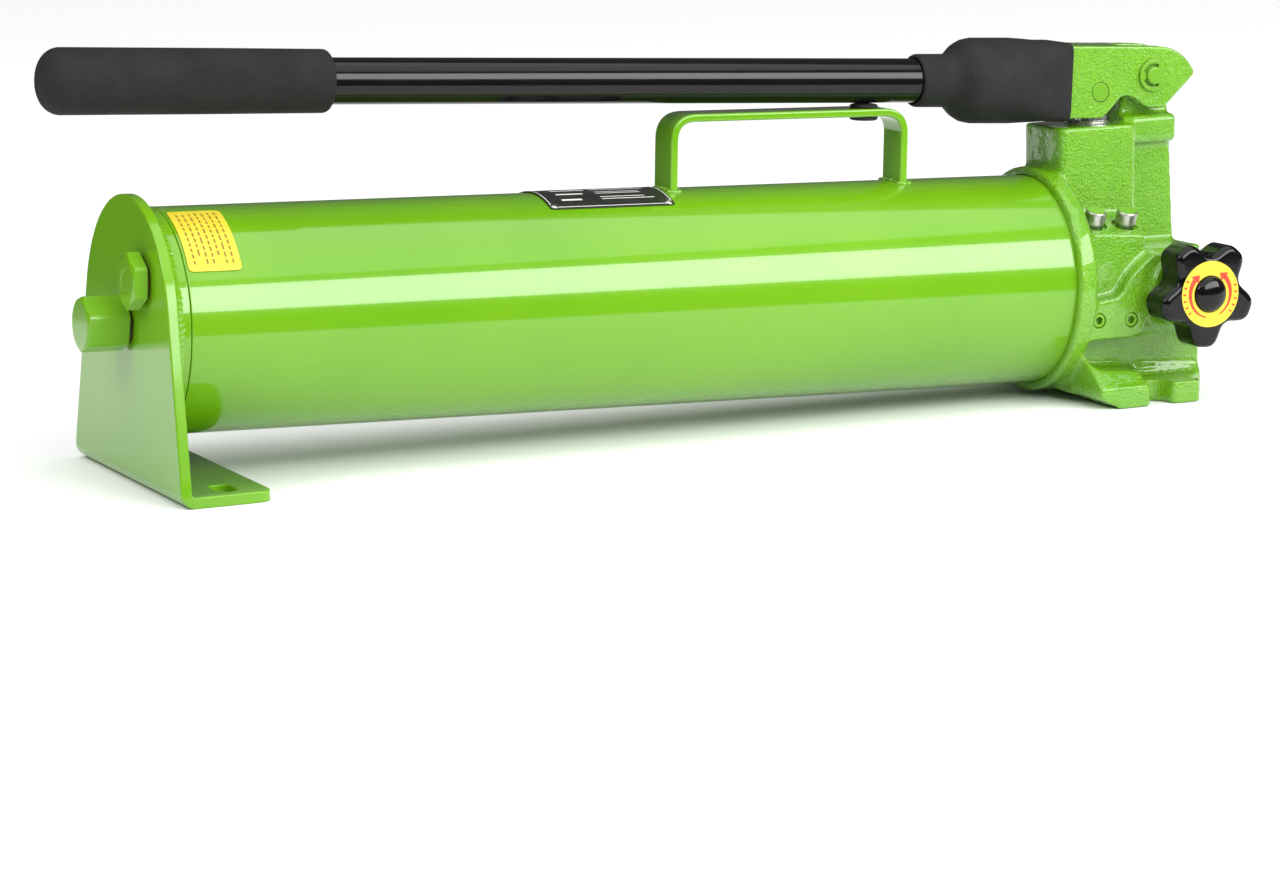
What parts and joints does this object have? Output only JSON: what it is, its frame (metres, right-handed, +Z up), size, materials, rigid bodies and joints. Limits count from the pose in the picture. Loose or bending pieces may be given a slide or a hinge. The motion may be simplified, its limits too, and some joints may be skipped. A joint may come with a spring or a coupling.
{
  "type": "hydraulic hand pump",
  "caption": "Hand-operated hydraulic pump with a cylindrical oil reservoir, a lever over a plunger cylinder, a release knob and a carrying handle.",
  "frame": {"origin": "middle of the pump head's flat underside, on the floor", "axes": "+X from the reservoir to the pump head along the floor, +Z up, -Y the side with the release knob"},
  "size_m": [0.6903, 0.1782, 0.2306],
  "materials": {
    "green_paint": "gloss",
    "green_casting": "gloss over a sand-cast surface",
    "black_enamel": "high gloss",
    "knob_plastic": "high gloss",
    "grip_foam": "matt",
    "rubber": "matt",
    "steel": "turned",
    "spring_steel": "drawn wire",
    "copper_washer": "satin",
    "filter_mesh": "woven wire",
    "plate_foil": "satin",
    "label_foil": "satin"
  },
  "bodies": {
    "root": {"reservoir_tube": "green_paint", "rear_end_cap": "green_paint", "rear_bracket": "green_paint", "tie_rod_nut": "green_paint", "carry_handle": "green_paint", "pump_head": "green_casting", "tube_seal_rear": "rubber", "tube_seal_front": "rubber", "handle_bumper": "rubber", "wiper_ring": "rubber", "plunger_packing": "rubber", "spindle_packing": "rubber", "tie_rod": "steel", "suction_tube": "steel", "cylinder_gland": "steel", "discharge_valve_cap": "steel", "unloader_valve_cap": "steel", "relief_screw": "steel", "gallery_plug": "steel", "spindle_gland": "steel", "nameplate_rivet_1": "steel", "nameplate_rivet_2": "steel", "nameplate_rivet_3": "steel", "nameplate_rivet_4": "steel", "discharge_spring": "spring_steel", "unloader_spring": "spring_steel", "relief_spring": "spring_steel", "tie_rod_washer": "copper_washer", "suction_filter": "filter_mesh", "nameplate": "plate_foil", "instruction_label": "label_foil"},
    "lever": {"lever_head": "green_casting", "lever_boot": "grip_foam", "handle_tube": "black_enamel", "handle_grip": "grip_foam", "handle_pin": "steel", "pivot_pin": "green_casting", "pivot_clip_near": "green_casting", "pivot_clip_far": "green_casting", "plunger_pin": "green_casting"},
    "plunger": {"plunger": "steel"},
    "release_ball": {"release_ball": "steel"},
    "release_valve": {"release_spindle": "steel", "release_knob": "knob_plastic", "knob_grub_screw": "steel", "knob_label": "label_foil", "knob_cap": "knob_plastic"},
    "filler_seal": {"filler_seal": "copper_washer"},
    "filler_plug": {"filler_plug": "green_paint"},
    "suction_ball": {"suction_ball": "steel"},
    "discharge_ball": {"discharge_ball": "steel"},
    "unloader_ball": {"unloader_ball": "steel"},
    "relief_ball": {"relief_ball": "steel"}
  },
  "joints": [
    {"name": "lever_swing", "type": "hinge", "parent": "root", "child": "lever", "pos_m": [0.03, 0, 0.1822], "axis": [0, 1, 0], "range_deg": [0, 42]},
    {"name": "plunger_stroke", "type": "slide", "parent": "root", "child": "plunger", "axis": [0, 0, 1], "range_m": [0, 0.0253]},
    {"name": "release_travel", "type": "slide", "parent": "root", "child": "release_ball", "axis": [0, -1, 0], "range_m": [0, 0.0015]},
    {"name": "knob_turn", "type": "hinge", "parent": "release_ball", "child": "release_valve", "pos_m": [0.025, -0.0765, 0.064], "axis": [0, -1, 0], "range_deg": [0, 360]},
    {"name": "filler_travel", "type": "slide", "parent": "root", "child": "filler_seal", "axis": [-0.9995, 0, 0.0326], "range_m": [0, 0.012]},
    {"name": "filler_turn", "type": "hinge", "parent": "filler_seal", "child": "filler_plug", "pos_m": [-0.59567, -0.028, 0.11103], "axis": [-0.9995, 0, 0.0326], "range_deg": [0, 2880]},
    {"name": "suction_lift", "type": "slide", "parent": "root", "child": "suction_ball", "axis": [0, 0, 1], "range_m": [0, 0.0015]},
    {"name": "discharge_lift", "type": "slide", "parent": "root", "child": "discharge_ball", "axis": [0, -0.309, 0.9511], "range_m": [0, 0.001], "deforming": ["discharge_spring"]},
    {"name": "unloader_lift", "type": "slide", "parent": "root", "child": "unloader_ball", "axis": [0, -0.309, 0.9511], "range_m": [0, 0.001], "deforming": ["unloader_spring"]},
    {"name": "relief_lift", "type": "slide", "parent": "root", "child": "relief_ball", "axis": [0, -1, 0], "range_m": [0, 0.001], "deforming": ["relief_spring"]}
  ],
  "couplings": [
    {"joint": "plunger_stroke", "follows": "lever_swing", "m_per_rad": 0.0344},
    {"joint": "release_travel", "follows": "knob_turn", "m_per_rad": 0.000238},
    {"joint": "filler_travel", "follows": "filler_turn", "m_per_rad": 0.000238}
  ]
}
